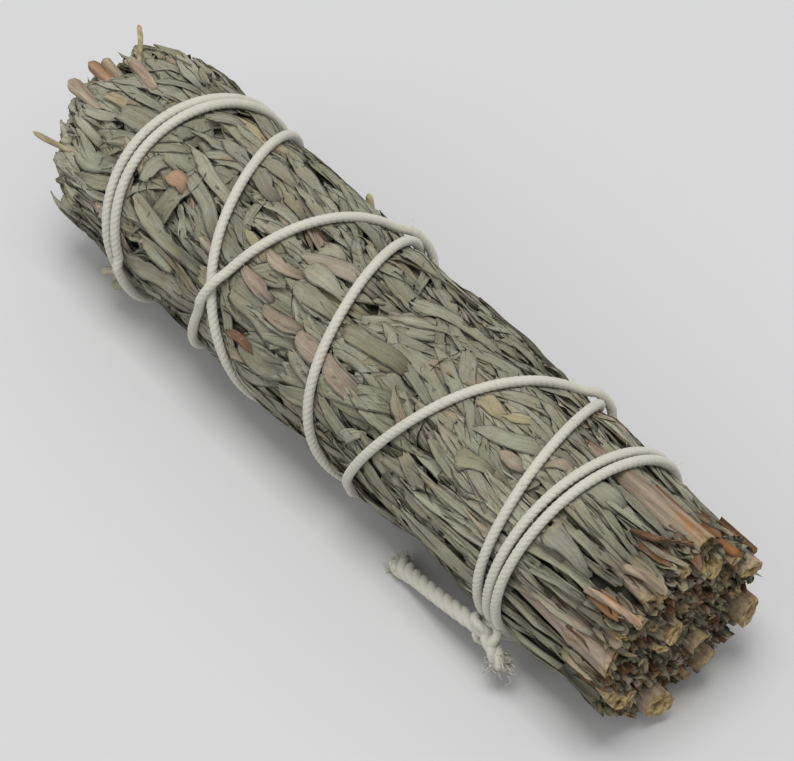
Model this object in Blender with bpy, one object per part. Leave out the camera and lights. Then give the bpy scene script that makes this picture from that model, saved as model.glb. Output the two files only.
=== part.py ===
# A bunch of dried sage sprigs, wound with cotton twine and lying on its side.
# Metres, +Z up. +X runs along the bunch to the cut stems, and the leaf tips are at -X.
# Angles go round the bunch's axis: 0 is the top, 90 degrees faces -Y and 180 is underneath.

import math
import random

import bmesh
import bpy
from mathutils import Vector

MM = 0.001

# The bunch as a whole
LENGTH = 108 * MM
AXIS_HEIGHT = 13.4 * MM  # a little under the leaves' radius, which presses a flat on the underside
CLEARANCE = 0.3 * MM  # between neighbouring pieces
MERGED_WITHIN = 0.001 * MM

# Two rings of sprigs: how many, and the radii between which their leaves are packed
OUTER_RING = {"count": 8, "inside": 6.9 * MM, "outside": 12.4 * MM, "turned": math.radians(18)}
INNER_RING = {"count": 4, "inside": 0.7 * MM, "outside": 6.5 * MM, "turned": math.radians(30)}
TWIST = math.radians(12) / LENGTH
SWAY = math.radians(4)
SWAY_LENGTH = 62 * MM
SWAY_STEP = 1.7  # how far one line's sway is ahead of the last one's, in radians
PRESSED_RADIUS = 13.9 * MM  # of the packed leaves underneath, before the flat is cut
PRESSED_HALF = math.radians(20)
END_ROUNDING = 1.6 * MM
END_ROUNDING_LENGTH = 7 * MM
ROUNDING_STARTS = 14 * MM  # before the tip
LEAVES_BEGIN = (5 * MM, 8 * MM)  # how far the packed leaves stop before the tip
LEAVES_END = (4 * MM, 6.5 * MM)  # and before the cut end

# Leaf blades
BLADE_THICKNESS = 0.75 * MM
BLADE_LENGTH = (16 * MM, 23 * MM)
BLADE_WIDTH = (4.6 * MM, 6.4 * MM)
BLADE_ROWS = (0.0, 0.62, 1.0)  # shares of the length
ROW_WIDTHS = (0.0, 0.9, 1.0)
TOOTH_DEPTHS = (0.0, 0.16, 0.07)  # at the middle tooth, the notch beside it and the side tooth
ROOT_DEPTH = 1.3 * MM
WAIST_LIFT = 0.05 * MM
TIP_LIFT = (0.35 * MM, 0.8 * MM)
BLADE_FOLD = (0.05 * MM, 0.3 * MM)
OUTER_BLADES = 9
SEED = 400  # of the random draws, one for each sprig
LAST_ROOT = 4 * MM  # from the packed leaves' start to the last blade's root
INNER_BLADES = 4
INNER_BLADE_WIDTH = (2.6 * MM, 3.8 * MM)
INNER_BLADE_ROOT = (2.0 * MM, 4.5 * MM)
INNER_BLADE_LIFT = (-0.5 * MM, 0.1 * MM)
INNER_BLADE_RADIUS = (3.2 * MM, 5.2 * MM)
INNER_BLADE_SPACING = 2.2 * MM

# Stems of the outer sprigs in order round the ring: radius, distance from the bunch's axis
# at the cut end, and how far short of the bunch's end the stem is cut. The fourth is the
# thick one that lies bare along the upper side.
OUTER_STEMS = (
    (1.5 * MM, 9.2 * MM, 0.4 * MM),
    (1.9 * MM, 10.3 * MM, 0.0 * MM),
    (1.4 * MM, 11.0 * MM, 0.9 * MM),
    (2.1 * MM, 11.2 * MM, 1.7 * MM),
    (1.1 * MM, 10.8 * MM, 2.6 * MM),
    (1.8 * MM, 10.9 * MM, 2.4 * MM),
    (1.0 * MM, 10.8 * MM, 1.6 * MM),
    (2.0 * MM, 10.2 * MM, 0.2 * MM),
)
INNER_STEMS = (
    (1.5 * MM, 3.6 * MM, 0.6 * MM),
    (1.2 * MM, 3.4 * MM, 2.4 * MM),
    (1.4 * MM, 3.7 * MM, 1.1 * MM),
    (1.1 * MM, 3.3 * MM, 3.2 * MM),
)
STEM_TAPER = 0.55
STEM_TOP = -24 * MM
STEM_TURNS_OUT = (40 * MM, 14 * MM)  # before the cut end: where it leaves the middle, and is out
STEM_STEPS = 5

# Twine: where it crosses the lower left edge, the front, the upper right edge, the back and
# the underside in each of its nine turns, as distances along the bunch. It starts and ends
# at the knot. The last four turns run back over the first ones.
TWINE_RADIUS = 0.65 * MM
GROOVE_RADIUS = 1.05 * MM  # of the four-sided furrow that the twine presses into the leaves
TWINE_LIES_AT = 13.75 * MM
TWINE_HOP = 1.55 * MM
HOP_REACH = 2.6 * MM
TURN_STARTS_AT = math.radians(116)
QUARTERS = (0.0, 0.25, 0.5, 0.75, 0.82)
TURNS = (
    (31.9, 30.2, 24.4, 14.5, 11.2),
    (3.4, -2.3, -8.6, -10.2, -10.9),
    (-12.5, -23.3, -31.6, -34.0, -34.6),
    (-35.9, -40.1, -37.3, -36.6, -36.2),
    (-34.5, -38.6, -35.7, -29.5, -27.6),
    (-22.3, -17.1, -9.4, 2.2, 4.4),
    (6.8, 15.0, 24.0, 30.0, 31.0),
    (33.0, 33.5, 35.2, 34.9, 34.8),
    (34.6, 35.1, 36.7, 36.0, 35.2),
)
POINTS_PER_TURN = 16
KNOT_X = 33.2 * MM
KNOT_DISTANCE = 15.3 * MM
KNOT_SIZE = 0.72 * MM
TAIL_RADIUS = 0.85 * MM
TAIL_END = Vector((16.4 * MM, -12.6 * MM, 0.95 * MM))
SHORT_END = Vector((36.6 * MM, -14.4 * MM, 4.2 * MM))
FRAY_RADIUS = 0.34 * MM
FRAY_LENGTH = 3.2 * MM
FRAY_STRANDS = 4
FRAY_SPREAD = 0.38  # sideways, as a share of the length, from each strand to the next
FRAY_RISE = 0.25 * MM
TAIL_LEAVES_KNOT = Vector((-6 * MM, 0, -3 * MM))
TAIL_SCALES = (0.8, 0.85, 0.95, 1.0, 1.0, 0.9)
KNOT_STEPS = 22


def empty_scene():
    for obj in list(bpy.data.objects):
        bpy.data.objects.remove(obj)


def new_collection(name):
    collection = bpy.data.collections.new(name)
    bpy.context.scene.collection.children.link(collection)
    return collection


def new_material(name, colour, roughness):
    material = bpy.data.materials.new(name)
    material.use_nodes = True
    shader = material.node_tree.nodes["Principled BSDF"]
    shader.inputs["Base Color"].default_value = (*colour, 1)
    shader.inputs["Roughness"].default_value = roughness
    shader.inputs["Metallic"].default_value = 0
    return material


def new_object(name, mesh, collection):
    obj = bpy.data.objects.new(name, mesh)
    collection.objects.link(obj)
    return obj


def bundle_point(x, angle, radius):
    """Takes a place along, round and out from the bunch's axis to a point in the scene."""
    return Vector((x, -radius * math.sin(angle), AXIS_HEIGHT + radius * math.cos(angle)))


def edge_angle(ring, k, x):
    """The angle of the line between sprig k - 1 and sprig k of a ring, at x."""
    even = math.pi + ring["turned"] + (k - 0.5) * math.tau / ring["count"]
    sway = SWAY * math.sin(math.tau * x / SWAY_LENGTH + SWAY_STEP * (k % ring["count"]))
    return even + TWIST * x + sway


def sector(ring, k, x, radius):
    """The middle and the half width, as angles, of the room that sprig k has at x."""
    low = edge_angle(ring, k, x)
    high = edge_angle(ring, k + 1, x)
    return (low + high) / 2, (high - low) / 2 - CLEARANCE / 2 / radius


def packed_radius(ring, k, x, across):
    """The radius of the packed leaves of sprig k at x, from -1 to 1 across it."""
    radius = ring["outside"]
    middle, half = sector(ring, k, x, radius)
    if ring is OUTER_RING:
        from_below = (middle + across * half) % math.tau - math.pi
        radius += (PRESSED_RADIUS - radius) * max(0.0, 1 - (from_below / PRESSED_HALF) ** 2)
    into_tip = (-x - (LENGTH / 2 - ROUNDING_STARTS)) / END_ROUNDING_LENGTH
    return radius - END_ROUNDING * max(0.0, into_tip) ** 2


def unit_slab(rows, columns):
    """A grid from -1 to 1 both ways, at z = 0, with the same grid at z = -1 and sides between."""
    mesh = bmesh.new()
    bmesh.ops.create_grid(mesh, x_segments=rows, y_segments=columns, size=1)
    bmesh.ops.triangulate(mesh, faces=mesh.faces[:])
    lower = bmesh.ops.extrude_face_region(mesh, geom=mesh.faces[:], use_keep_orig=True)["geom"]
    for vertex in lower:
        if isinstance(vertex, bmesh.types.BMVert):
            vertex.co.z = -1
    return mesh


def finish_mesh(mesh, name):
    bmesh.ops.recalc_face_normals(mesh, faces=mesh.faces[:])
    data = bpy.data.meshes.new(name)
    mesh.to_mesh(data)
    mesh.free()
    return data


def leaf_core(ring, k, start, end, name):
    """The packed middle of a sprig's leaves: a slab bent round the axis between two radii."""
    mesh = unit_slab(8, 3)
    for vertex in mesh.verts:
        along, across, layer = vertex.co
        x = start + (end - start) * (along + 1) / 2
        radius = ring["inside"] if layer < -0.5 else packed_radius(ring, k, x, across)
        middle, half = sector(ring, k, x, radius)
        vertex.co = bundle_point(x, middle + across * half, radius)
    return finish_mesh(mesh, name)


def soft_limit(value):
    """Runs straight through 0 and never passes 1 or -1."""
    return value / (1 + value**4) ** 0.25


def leaf_blade(ring, k, blade, name):
    """A three-toothed wedge of a leaf, bent round the bunch within its own sprig's room."""
    mesh = unit_slab(2, 4)
    for vertex in mesh.verts:
        row, across, layer = vertex.co
        along = BLADE_ROWS[round(row) + 1]
        spread = ROW_WIDTHS[round(row) + 1]
        tooth = 0.0 if row < 0.5 else TOOTH_DEPTHS[round(2 * abs(across))]
        reach = blade["length"] * (along - tooth)
        x = blade["root_x"] - reach * math.cos(blade["yaw"])
        side = blade["side"] + reach * math.sin(blade["yaw"]) + across * spread * blade["width"] / 2
        height = (-ROOT_DEPTH, WAIST_LIFT, blade["lift"])[round(row) + 1]
        height -= blade["fold"] * abs(across) * along
        radius = blade["radius"] + height + BLADE_THICKNESS * (layer + 1)
        middle, half = sector(ring, k, x, radius)
        vertex.co = bundle_point(x, middle + half * soft_limit(side / (radius * half)), radius)
    bmesh.ops.remove_doubles(mesh, verts=mesh.verts[:], dist=MERGED_WITHIN)
    return finish_mesh(mesh, name)


def outer_blades(k, start, end, draw):
    """Blades set along an outer sprig from its butt to its tip, turning out to each side."""
    room = math.pi / OUTER_RING["count"] * OUTER_RING["outside"]
    for i in range(OUTER_BLADES):
        root_x = end - (i + draw.uniform(0.0, 0.6)) * (end - start - LAST_ROOT) / OUTER_BLADES
        turn = (-1, 1, 0)[i % 3]
        yield {
            "root_x": root_x,
            "length": min(draw.uniform(*BLADE_LENGTH), root_x + LENGTH / 2),
            "width": draw.uniform(*BLADE_WIDTH),
            "yaw": math.radians(turn * draw.uniform(1, 9) + draw.uniform(-4, 4)),
            "side": turn * room * draw.uniform(0.35, 0.6) + draw.uniform(-0.6, 0.6) * MM,
            "lift": draw.uniform(*TIP_LIFT),
            "fold": draw.uniform(*BLADE_FOLD),
            "radius": OUTER_RING["outside"],
        }


def inner_blades(start, draw):
    """Blades that stand out of the tip end of an inner sprig."""
    for i in range(INNER_BLADES):
        root_x = start + draw.uniform(*INNER_BLADE_ROOT)
        yield {
            "root_x": root_x,
            "length": root_x + LENGTH / 2 - draw.uniform(0.0, 3.0) * MM,
            "width": draw.uniform(*INNER_BLADE_WIDTH),
            "yaw": math.radians(draw.uniform(-8, 8)),
            "side": (i % 3 - 1) * INNER_BLADE_SPACING + draw.uniform(-0.4, 0.4) * MM,
            "lift": draw.uniform(*INNER_BLADE_LIFT),
            "fold": draw.uniform(*BLADE_FOLD),
            "radius": INNER_BLADE_RADIUS[i // 3],
        }


def boolean(obj, operation, cutter=None, group=None):
    """Adds a Boolean with one object or with all those of a collection, and applies it."""
    modifier = obj.modifiers.new(operation.title(), "BOOLEAN")
    modifier.operation = operation
    modifier.solver = "MANIFOLD"  # the exact solver loses bodies with this many blades
    if group:
        modifier.operand_type = "COLLECTION"
        modifier.collection = group
    else:
        modifier.object = cutter
    graph = bpy.context.evaluated_depsgraph_get()
    applied = bpy.data.meshes.new_from_object(obj.evaluated_get(graph))
    obj.modifiers.clear()
    obj.data = applied


def drop_scraps(obj):
    """Keeps the largest connected body: what a cut left hanging loose falls away."""
    mesh = bmesh.new()
    mesh.from_mesh(obj.data)
    bmesh.ops.remove_doubles(mesh, verts=mesh.verts[:], dist=MERGED_WITHIN / 2)
    left = set(mesh.verts)
    bodies = []
    while left:
        body = {left.pop()}
        edge = set(body)
        while edge:
            edge = {e.other_vert(v) for v in edge for e in v.link_edges} - body
            body |= edge
        left -= body
        bodies.append(body)
    largest = max(bodies, key=len)
    scraps = [v for v in mesh.verts if v not in largest]
    bmesh.ops.delete(mesh, geom=scraps, context="VERTS")
    mesh.to_mesh(obj.data)
    mesh.free()


def tube_from(points, radius, name, collection, scales=None, resolution=2):
    """A round-sided tube through the points, as a closed mesh."""
    curve = bpy.data.curves.new(name, "CURVE")
    curve.dimensions = "3D"
    curve.bevel_depth = radius
    curve.bevel_resolution = resolution
    curve.use_fill_caps = True
    spline = curve.splines.new("POLY")
    spline.points.add(len(points) - 1)
    for i, point in enumerate(points):
        spline.points[i].co = (*point, 1)
        spline.points[i].radius = scales[i] if scales else 1.0
    wire = new_object(name + "_wire", curve, collection)
    graph = bpy.context.evaluated_depsgraph_get()
    data = bpy.data.meshes.new_from_object(wire.evaluated_get(graph))
    bpy.data.objects.remove(wire)
    mesh = bmesh.new()
    mesh.from_mesh(data)
    bmesh.ops.remove_doubles(mesh, verts=mesh.verts[:], dist=MERGED_WITHIN)
    bmesh.ops.recalc_face_normals(mesh, faces=mesh.faces[:])
    mesh.to_mesh(data)
    mesh.free()
    data.name = name
    return new_object(name, data, collection)


def smooth_between(before, start, end, after, t):
    """Catmull-Rom between start and end."""
    return 0.5 * (
        2 * start
        + (end - before) * t
        + (2 * before - 5 * start + 4 * end - after) * t * t
        + (3 * start - before - 3 * end + after) * t**3
    )


def twine_stations():
    """(turns since the knot, distance along the bunch) of each point that the twine passes."""
    stations = [
        (turn + quarter, x * MM)
        for turn, row in enumerate(TURNS)
        for quarter, x in zip(QUARTERS, row)
    ]
    return stations + [(float(len(TURNS)), KNOT_X)]


def twine_along(turns, stations):
    """The twine's distance along the bunch after so many turns, smooth through its stations."""
    last = len(stations) - 2
    i = min(last, max(j for j, (at, _) in enumerate(stations) if at <= turns + 1e-9))
    (t0, x0), (t1, x1) = stations[i], stations[i + 1]
    before = stations[max(i - 1, 0)]
    after = stations[min(i + 2, last + 1)]
    slope0 = (x1 - before[1]) / (t1 - before[0])
    slope1 = (after[1] - x0) / (after[0] - t0)
    t = (turns - t0) / (t1 - t0)
    run = t1 - t0
    return (
        x0 * (2 * t**3 - 3 * t**2 + 1)
        + slope0 * run * (t**3 - 2 * t**2 + t)
        + x1 * (3 * t**2 - 2 * t**3)
        + slope1 * run * (t**3 - t**2)
    )


def twine_route():
    """The wound twine's centre line. It rides up over each earlier turn that it crosses."""
    stations = twine_stations()
    count = len(TURNS) * POINTS_PER_TURN + 1
    along = [twine_along(i / POINTS_PER_TURN, stations) for i in range(count)]
    hops = [0.0] * count
    for back in range(1, len(TURNS)):
        lag = back * POINTS_PER_TURN
        gaps = [along[i] - along[i - lag] for i in range(lag, count)]
        for j in range(1, len(gaps)):
            if gaps[j] * gaps[j - 1] >= 0:
                continue
            reach = POINTS_PER_TURN // 6
            for n in range(max(0, j - reach), min(len(gaps), j + reach)):
                rise = TWINE_HOP * math.exp(-((gaps[n] / HOP_REACH) ** 4))
                hops[n + lag] = max(hops[n + lag], rise)
    points = []
    for i in range(count):
        angle = TURN_STARTS_AT - math.tau * i / POINTS_PER_TURN
        point = bundle_point(along[i], angle, TWINE_LIES_AT + hops[i])
        point.z = max(point.z, TWINE_RADIUS + 0.06 * MM)
        points.append(point)
    return points


def knot_route(centre):
    """One closed loop of a trefoil, laid flat against the side of the bunch."""
    points = []
    for i in range(KNOT_STEPS):
        t = math.tau * (i + 0.5) / KNOT_STEPS
        points.append(
            centre
            + Vector(
                (
                    KNOT_SIZE * (math.sin(t) + 2 * math.sin(2 * t)),
                    -KNOT_SIZE * math.sin(3 * t),
                    KNOT_SIZE * (math.cos(t) - 2 * math.cos(2 * t)),
                )
            )
        )
    return points


def frayed_end(tip, heading, name, collection, draw):
    """A few strands that spread where the twine's end has come apart."""
    side = heading.cross(Vector((0, 0, 1))).normalized()
    for i in range(FRAY_STRANDS):
        bend = (i - (FRAY_STRANDS - 1) / 2) * FRAY_SPREAD
        reach = FRAY_LENGTH * draw.uniform(0.7, 1.0)
        point = tip + heading * reach + side * bend * reach
        point.z = max(point.z + FRAY_RISE * i, FRAY_RADIUS * 1.5)
        points = [tip - heading * MM, (tip + point) / 2 + side * bend * 0.3 * MM, point]
        tube_from(points, FRAY_RADIUS, f"{name}_{i}", collection, (1.0, 1.0, 0.7))


def build_twine(bunch, material):
    draw = random.Random(SEED)
    route = twine_route()
    knot = bundle_point(KNOT_X, TURN_STARTS_AT, KNOT_DISTANCE)
    twine = tube_from([knot] + route + [knot], TWINE_RADIUS, "twine", bunch)
    joined = new_collection("twine_joined")
    loop = knot_route(knot)
    tube_from(loop + loop[:2], TWINE_RADIUS, "knot", joined)
    before = knot - TAIL_LEAVES_KNOT
    last = len(TAIL_SCALES) - 1
    tail = [smooth_between(before, knot, TAIL_END, TAIL_END, i / last) for i in range(last + 1)]
    tube_from(tail, TAIL_RADIUS, "tail", joined, TAIL_SCALES)
    frayed_end(TAIL_END, (tail[-1] - tail[-2]).normalized(), "tail_fray", joined, draw)
    tube_from([knot, (knot + SHORT_END) / 2, SHORT_END], TWINE_RADIUS, "short_end", joined)
    frayed_end(SHORT_END, (SHORT_END - knot).normalized(), "short_fray", joined, draw)
    boolean(twine, "UNION", group=joined)
    for obj in list(joined.objects):
        bpy.data.objects.remove(obj)
    bpy.data.collections.remove(joined)
    drop_scraps(twine)
    twine.data.materials.clear()
    twine.data.materials.append(material)
    return twine


def groove_cutters(cutters):
    """Four-sided tubes that hold the twine clear, in three runs that don't cross themselves."""
    route = twine_route()
    marks = (0, 4 * POINTS_PER_TURN, 8 * POINTS_PER_TURN, len(route) - 1)
    grooves = []
    for i in range(3):
        run = route[marks[i] : marks[i + 1] + 1]
        groove = tube_from(run, GROOVE_RADIUS, f"groove_{i}", cutters, resolution=0)
        grooves.append(groove)
    return grooves


def stem_path(ring, k, stem, end):
    """The stem's centre line: up the middle of its sprig, and out to its place at the cut end."""
    radius, butt_distance, short = stem
    inside = (ring["inside"] + ring["outside"]) / 2
    leaves, is_out = STEM_TURNS_OUT
    points = []
    for i in range(STEM_STEPS + 1):
        x = end - short + (STEM_TOP - end + short) * i / STEM_STEPS
        out = min(1.0, max(0.0, (leaves - (end - x)) / (leaves - is_out)))
        distance = inside + (butt_distance - inside) * out * out * (3 - 2 * out)
        middle, _ = sector(ring, k, x, distance)
        points.append(bundle_point(x, middle, distance))
    return points


def build_sprig(ring, k, number, stem, bunch, cutters, grooves, table, materials):
    """One leafy stem: its leaves as one body, and the stem in a plain hole through them."""
    draw = random.Random(SEED + number)
    outer = ring is OUTER_RING
    start = -LENGTH / 2 + draw.uniform(*LEAVES_BEGIN)
    end = LENGTH / 2 - draw.uniform(*LEAVES_END)
    name = f"sprig_{number:02d}"
    leaves = new_object(name + "_leaves", leaf_core(ring, k, start, end, name), bunch)
    group = new_collection(name + "_blades")
    blades = outer_blades(k, start, end, draw) if outer else inner_blades(start, draw)
    for i, blade in enumerate(blades):
        new_object(f"{name}_blade_{i}", leaf_blade(ring, k, blade, f"{name}_blade_{i}"), group)
    boolean(leaves, "UNION", group=group)
    for obj in list(group.objects):
        bpy.data.objects.remove(obj)
    bpy.data.collections.remove(group)
    path = stem_path(ring, k, stem, LENGTH / 2)
    scales = [1 - STEM_TAPER * i / (len(path) - 1) for i in range(len(path))]
    wood = tube_from(path, stem[0], name + "_stem", bunch, scales)
    room = stem[0] + CLEARANCE
    hole_scales = [(stem[0] * scale + CLEARANCE) / room for scale in scales]
    beyond = path[-1] + (path[-1] - path[-2]).normalized() * CLEARANCE
    hole = tube_from(path[:-1] + [beyond], room, name + "_hole", cutters, hole_scales)
    boolean(leaves, "DIFFERENCE", cutter=hole)
    if outer:
        for groove in grooves:
            boolean(leaves, "DIFFERENCE", cutter=groove)
        boolean(leaves, "DIFFERENCE", cutter=table)
    drop_scraps(leaves)
    leaves.data.materials.clear()
    leaves.data.materials.append(materials["leaf"])
    wood.data.materials.append(materials["bark"])


def table_cutter(cutters):
    """Everything under the surface that the bunch lies on."""
    mesh = bmesh.new()
    bmesh.ops.create_cube(mesh, size=1)
    depth = AXIS_HEIGHT
    bmesh.ops.scale(mesh, vec=(2 * LENGTH, LENGTH, depth), verts=mesh.verts[:])
    bmesh.ops.translate(mesh, vec=(0, 0, -depth / 2), verts=mesh.verts[:])
    return new_object("table", finish_mesh(mesh, "table"), cutters)


def build():
    empty_scene()
    bunch = new_collection("sage_bunch")
    cutters = new_collection("cutters")
    materials = {
        "leaf": new_material("sage_leaf", (0.34, 0.35, 0.26), 0.9),
        "bark": new_material("sage_bark", (0.42, 0.28, 0.19), 0.85),
    }
    cotton = new_material("cotton_twine", (0.66, 0.63, 0.54), 0.9)
    grooves = groove_cutters(cutters)
    table = table_cutter(cutters)
    number = 0
    for ring, stems in ((OUTER_RING, OUTER_STEMS), (INNER_RING, INNER_STEMS)):
        for k, stem in enumerate(stems):
            number += 1
            build_sprig(ring, k, number, stem, bunch, cutters, grooves, table, materials)
            print("built sprig", number)
    build_twine(bunch, cotton)
    for obj in cutters.objects:
        obj.hide_render = True
        obj.display_type = "WIRE"


build()
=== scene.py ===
import math

import bmesh
import bpy
import numpy as np
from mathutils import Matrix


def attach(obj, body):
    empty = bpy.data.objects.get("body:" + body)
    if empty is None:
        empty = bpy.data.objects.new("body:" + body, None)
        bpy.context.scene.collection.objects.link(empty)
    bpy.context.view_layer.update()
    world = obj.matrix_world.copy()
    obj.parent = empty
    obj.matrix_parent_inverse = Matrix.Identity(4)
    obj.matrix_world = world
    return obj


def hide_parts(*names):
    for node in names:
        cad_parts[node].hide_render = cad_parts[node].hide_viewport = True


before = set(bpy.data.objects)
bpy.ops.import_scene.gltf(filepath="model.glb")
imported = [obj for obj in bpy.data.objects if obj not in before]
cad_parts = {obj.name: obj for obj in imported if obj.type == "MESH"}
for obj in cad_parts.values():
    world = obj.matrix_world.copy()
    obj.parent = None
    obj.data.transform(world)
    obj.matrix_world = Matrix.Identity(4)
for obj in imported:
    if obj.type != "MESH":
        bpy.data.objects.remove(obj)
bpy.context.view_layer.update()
print("frame loaded")

mm = 0.001

# The bunch: its axis, its ring of outer sprigs and how they lean, as in the part's source.
# Here and below lengths are in mm and angles in radians, except where a comment says degrees.
bunch = {
    "axisHeight": 13.4,
    "outerSprigs": 8,
    "outerTurned": math.radians(18),
    "twist": math.radians(12) / 108.0,
    "sway": math.radians(4),
    "swayLength": 62.0,
    "swayStep": 1.7,
    "packedRadius": 11.7,
    "leafRadius": 13.6,
    "outermost": 13.3,
}

# The camera, its two angles in degrees
view = {
    "azimuth": 48.6,
    "elevation": 53.0,
    "distance": 450.0,
    "target": (2.2, -0.43, 13.4),
    "pixelsPerMm": 8.19,
    "imageWidth": 794,
    "sensor": 36.0,
}


def bunchPoint(x, angle, radius):
    # place along, round and out from the axis -> x, -r sin a, height + r cos a, all in mm
    x, angle, radius = np.broadcast_arrays(x, angle, radius)
    side = -radius * np.sin(angle)
    height = bunch["axisHeight"] + radius * np.cos(angle)
    return np.stack([x, side, height], axis=-1)


def edgeAngle(k, x):
    # the line between outer sprig k - 1 and k: an even share of the turn, leaning and swaying
    even = math.pi + bunch["outerTurned"] + (k - 0.5) * math.tau / bunch["outerSprigs"]
    phase = bunch["swayStep"] * (k % bunch["outerSprigs"])
    return even + bunch["twist"] * x + bunch["sway"] * np.sin(math.tau * x / bunch["swayLength"] + phase)


def sprigAt(x, angle):
    # which outer sprig owns a place: the last edge line that the angle has passed
    first = edgeAngle(0, x)
    turned = (angle - first) % math.tau
    edges = [(edgeAngle(k, x) - first) % math.tau for k in range(bunch["outerSprigs"])]
    return max(k for k in range(bunch["outerSprigs"]) if edges[k] <= turned + 1e-9)


def setCamera():
    # it looks at the target from the distance, and its lens gives pixelsPerMm there
    az, el = math.radians(view["azimuth"]), math.radians(view["elevation"])
    back = np.array([math.sin(az) * math.cos(el), -math.cos(az) * math.cos(el), math.sin(el)])
    place = (np.array(view["target"]) + back * view["distance"]) * mm
    data = bpy.data.cameras.new("photoCamera")
    data.sensor_width = view["sensor"]
    data.lens = view["pixelsPerMm"] * view["distance"] * view["sensor"] / view["imageWidth"]
    data.clip_start = 0.01
    camera = bpy.data.objects.new("photoCamera", data)
    camera.location = place
    camera.rotation_euler = (math.pi / 2 - el, 0, az)
    bpy.context.scene.collection.objects.link(camera)
    bpy.context.scene.camera = camera


setCamera()
print("camera set")


# Shader maths: a socket that takes the usual operators
class Wire:
    def __init__(self, shade, socket):
        self.shade = shade
        self.socket = socket

    def math(self, operation, *others):
        values = dict(enumerate((self,) + others))
        return self.shade.node("ShaderNodeMath", {"operation": operation}, values)

    def __add__(self, other):
        return self.math("ADD", other)

    def __radd__(self, other):
        return self.math("ADD", other)

    def __sub__(self, other):
        return self.math("SUBTRACT", other)

    def __rsub__(self, other):
        negative = self.math("MULTIPLY", -1.0)
        return negative.math("ADD", other)

    def __mul__(self, other):
        return self.math("MULTIPLY", other)

    def __rmul__(self, other):
        return self.math("MULTIPLY", other)

    def clamped(self):
        return self.math("MAXIMUM", 0.0).math("MINIMUM", 1.0)


# One material: node() makes any node and the rest make the ones that are used most
class Shade:
    def __init__(self, name, roughness):
        self.material = bpy.data.materials.new(name)
        self.material.use_nodes = True
        self.tree = self.material.node_tree
        self.surface = self.tree.nodes["Principled BSDF"]
        self.surface.inputs["Roughness"].default_value = roughness
        self.surface.inputs["Specular IOR Level"].default_value = 0.25

    def node(self, kind, settings=None, values=None, output=0):
        made = self.tree.nodes.new(kind)
        for name, value in (settings or {}).items():
            setattr(made, name, value)
        for name, value in (values or {}).items():
            self.feed(made.inputs[name], value)
        return Wire(self, made.outputs[output])

    def feed(self, socket, value):
        if isinstance(value, Wire):
            self.tree.links.new(value.socket, socket)
        else:
            socket.default_value = value

    def attribute(self, name, output):
        return self.node("ShaderNodeAttribute", {"attribute_name": name}, output=output)

    def place(self, scale=(1, 1, 1), source="Object"):
        coordinates = self.node("ShaderNodeTexCoord", output=source)
        return self.node("ShaderNodeMapping", values={"Vector": coordinates, "Scale": scale})

    def noise(self, vector, scale, detail=3.0, roughness=0.55):
        values = {"Vector": vector, "Scale": scale, "Detail": detail, "Roughness": roughness}
        return self.node("ShaderNodeTexNoise", values=values)

    def mix(self, amount, first, second, blend="MIX"):
        # a Mix node's colours are its inputs 6 and 7 and its output 2
        settings = {"data_type": "RGBA", "blend_type": blend}
        values = {"Factor": amount, 6: first, 7: second}
        return self.node("ShaderNodeMix", settings, values, output=2)

    def bump(self, height, strength, distance):
        values = {"Height": height, "Strength": strength, "Distance": distance * mm}
        self.feed(self.surface.inputs["Normal"], self.node("ShaderNodeBump", values=values))

    def colour(self, value):
        self.feed(self.surface.inputs["Base Color"], value)


# Colours of the finishes and of the floor, as linear red, green, blue and alpha
paint = {
    "veinShade": (0.68, 0.67, 0.64, 1),
    "veinLight": (1.16, 1.16, 1.15, 1),
    "bloom": (0.42, 0.41, 0.34, 1),
    "worn": (0.25, 0.19, 0.11, 1),
    "speck": (0.09, 0.065, 0.04, 1),
    "heartPaintedShadeDeep": (0.01, 0.009, 0.006, 1),
    "heartPaintedShadePale": (0.07, 0.065, 0.045, 1),
    "rustyBark": (0.33, 0.15, 0.055, 1),
    "greyBark": (0.33, 0.31, 0.25, 1),
    "streakShade": (0.45, 0.42, 0.4, 1),
    "streakLight": (1.25, 1.22, 1.2, 1),
    "woodShade": (0.13, 0.075, 0.03, 1),
    "woodLight": (0.58, 0.44, 0.21, 1),
    "pithPaintedShadePale": (0.035, 0.02, 0.01, 1),
    "pithPaintedShadeDeep": (0.012, 0.008, 0.005, 1),
    "fibreShade": (0.49, 0.47, 0.39, 1),
    "fibreLight": (0.66, 0.64, 0.56, 1),
    "slub": (0.52, 0.49, 0.38, 1),
    "floor": (0.6, 0.6, 0.605, 1),
}


def leafFinish():
    # each leaf's own colour with its painted shade, from its attribute, lengthwise veins in its UV map,
    # and fine specks
    shade = Shade("driedLeaf", 0.95)
    own = shade.attribute("leafColour", "Color")
    veins = shade.noise(shade.place((0.10, 2.1, 1), "UV"), 1.0, 5.0, 0.62)
    creases = shade.noise(shade.place((0.35, 1.1, 1), "UV"), 1.0, 2.0, 0.5)
    specks = shade.noise(shade.place(), 2400.0, 2.0)
    patches = shade.noise(shade.place(), 380.0, 3.0)
    lined = ((veins - 0.5) * 2.2 + 0.55).clamped()
    veined = shade.mix(lined, paint["veinShade"], paint["veinLight"])
    tinted = shade.mix(1.0, own, veined, "MULTIPLY")
    bloom = ((patches - 0.52) * 3.0).clamped() * 0.4
    pale = shade.mix(bloom, tinted, paint["bloom"])
    brown = ((1.0 - patches * 1.9).clamped() * 1.6).clamped() * 0.45
    worn = shade.mix(brown, pale, paint["worn"])
    shade.colour(shade.mix((specks * 1.7 - 1.0).clamped() * 0.8, worn, paint["speck"]))
    shade.bump(veins * 0.9 + creases * 1.3 + specks * 0.2, 1.0, 0.5)
    shade.surface.inputs["Sheen Weight"].default_value = 0.08
    shade.surface.inputs["Sheen Roughness"].default_value = 0.6
    return shade.material


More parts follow.
